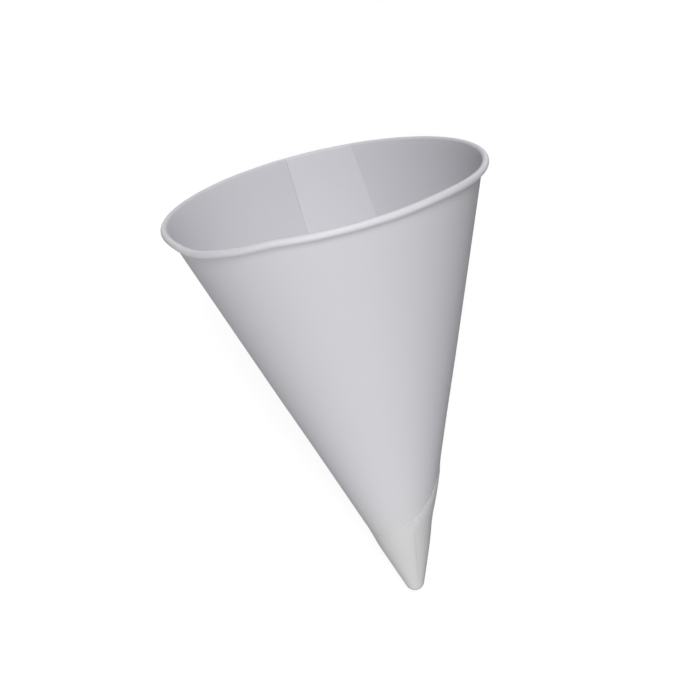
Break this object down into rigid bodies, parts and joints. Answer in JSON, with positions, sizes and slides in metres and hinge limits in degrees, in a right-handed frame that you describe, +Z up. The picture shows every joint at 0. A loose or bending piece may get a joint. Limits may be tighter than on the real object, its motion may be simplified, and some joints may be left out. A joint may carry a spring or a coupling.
{
  "type": "cone paper cup",
  "caption": "Cone-shaped paper drinking cup with a rolled rim, a glued side lap and a wrapped, pressed tip, lying on its side.",
  "frame": {"origin": "on the surface that the cup lies on, under the middle of its bounding box", "axes": "+Y along the ground line from the tip to the mouth, +Z up, +X to the right when looking out of the mouth"},
  "size_m": [0.07, 0.1012, 0.066],
  "materials": {
    "white_paper": "matte uncoated white paper"
  },
  "bodies": {
    "root": {"paper_cone": "white_paper"}
  },
  "joints": []
}
